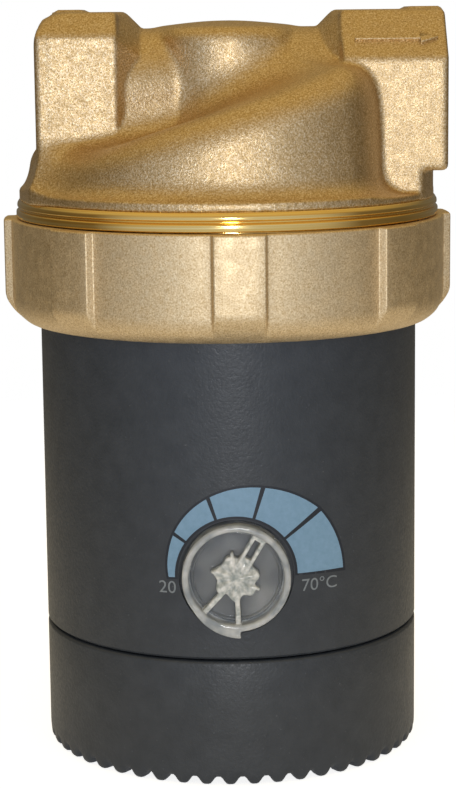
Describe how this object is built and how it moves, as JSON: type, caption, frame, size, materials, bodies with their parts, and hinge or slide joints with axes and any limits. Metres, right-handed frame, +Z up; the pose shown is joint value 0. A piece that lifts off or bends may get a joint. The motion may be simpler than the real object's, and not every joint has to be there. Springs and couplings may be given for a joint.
{
  "type": "hot-water circulation pump",
  "caption": "Small in-line hot-water circulator: cast brass pump casing with threaded ports, brass union ring, round black motor with thermostat dial and serrated end cap.",
  "frame": {"origin": "on the motor axis, on the surface that the serrated end cap stands on", "axes": "+Z up along the motor axis towards the pump casing; +X out of the outlet port; -Y out of the thermostat knob"},
  "size_m": [0.09, 0.09, 0.1486],
  "materials": {
    "black_plastic": "fine moulded texture",
    "board_green": "solder mask",
    "capacitor_sleeve": "shrink sleeve",
    "cast_brass": "grainy sand-cast brass with machined ports and rim",
    "clear_plastic": "clear moulded",
    "copper_winding": "enamelled copper wire",
    "film_yellow": "moulded box",
    "grey_plastic": "moulded",
    "impeller_plastic": "glass-filled",
    "lamination": "stacked sheet steel",
    "magnet": "sintered, dark",
    "nut_brass": "satin forged brass",
    "nylon": "natural moulded nylon",
    "seal_rubber": "smooth",
    "stainless": "deep-drawn",
    "terminal_green": "moulded",
    "tinned_brass": "tinned",
    "white_ceramic": "polished",
    "zinc_screw": "zinc plated"
  },
  "bodies": {
    "volute": {"volute_housing": "cast_brass"},
    "seal": {"can_seal": "seal_rubber"},
    "motor_head": {"motor_housing": "black_plastic", "cap_seal": "seal_rubber", "separation_can": "stainless", "bearing_pin": "stainless", "bearing_ball": "white_ceramic", "stator_core": "lamination", "coil_bobbins": "nylon", "stator_windings": "copper_winding", "carrier_plate": "nylon", "control_board": "board_green", "board_screws": "zinc_screw", "smoothing_capacitors": "capacitor_sleeve", "film_capacitor": "film_yellow", "terminal_block": "terminal_green", "terminal_screws": "zinc_screw", "earth_terminal": "tinned_brass", "temperature_sensor": "stainless", "dial_shaft_seal": "seal_rubber", "potentiometer": "grey_plastic", "gland_body": "black_plastic", "gland_nut": "black_plastic", "gland_seal": "seal_rubber"},
    "ring": {"union_ring": "nut_brass"},
    "cap": {"end_cap": "black_plastic"},
    "knob": {"thermostat_knob": "clear_plastic", "dial_shaft": "grey_plastic"},
    "rotor": {"rotor_magnet": "magnet", "rotor_jacket": "stainless", "rotor_back_iron": "lamination", "bearing_cup": "magnet", "impeller": "impeller_plastic"}
  },
  "joints": [
    {"name": "motor_release", "type": "slide", "parent": "volute", "child": "seal", "axis": [0, 0, 1], "range_m": [-0.008, 0]},
    {"name": "motor_swivel", "type": "hinge", "parent": "seal", "child": "motor_head", "pos_m": [0, 0, 0], "axis": [0, 0, 1], "continuous": true},
    {"name": "ring_turn", "type": "hinge", "parent": "seal", "child": "ring", "pos_m": [0, 0, 0], "axis": [0, 0, 1], "range_deg": [-1450, 10]},
    {"name": "cap_turn", "type": "hinge", "parent": "motor_head", "child": "cap", "pos_m": [0, 0, 0], "axis": [0, 0, 1], "range_deg": [0, 20]},
    {"name": "thermostat_dial", "type": "hinge", "parent": "motor_head", "child": "knob", "pos_m": [0.001, 0, 0.0417], "axis": [0, -1, 0], "range_deg": [-60, 120]},
    {"name": "rotor_spin", "type": "hinge", "parent": "motor_head", "child": "rotor", "pos_m": [0, 0, 0], "axis": [0, 0, 1], "continuous": true}
  ],
  "couplings": [
    {"joint": "ring_turn", "follows": "motor_release", "rad_per_m": 3141.6}
  ]
}
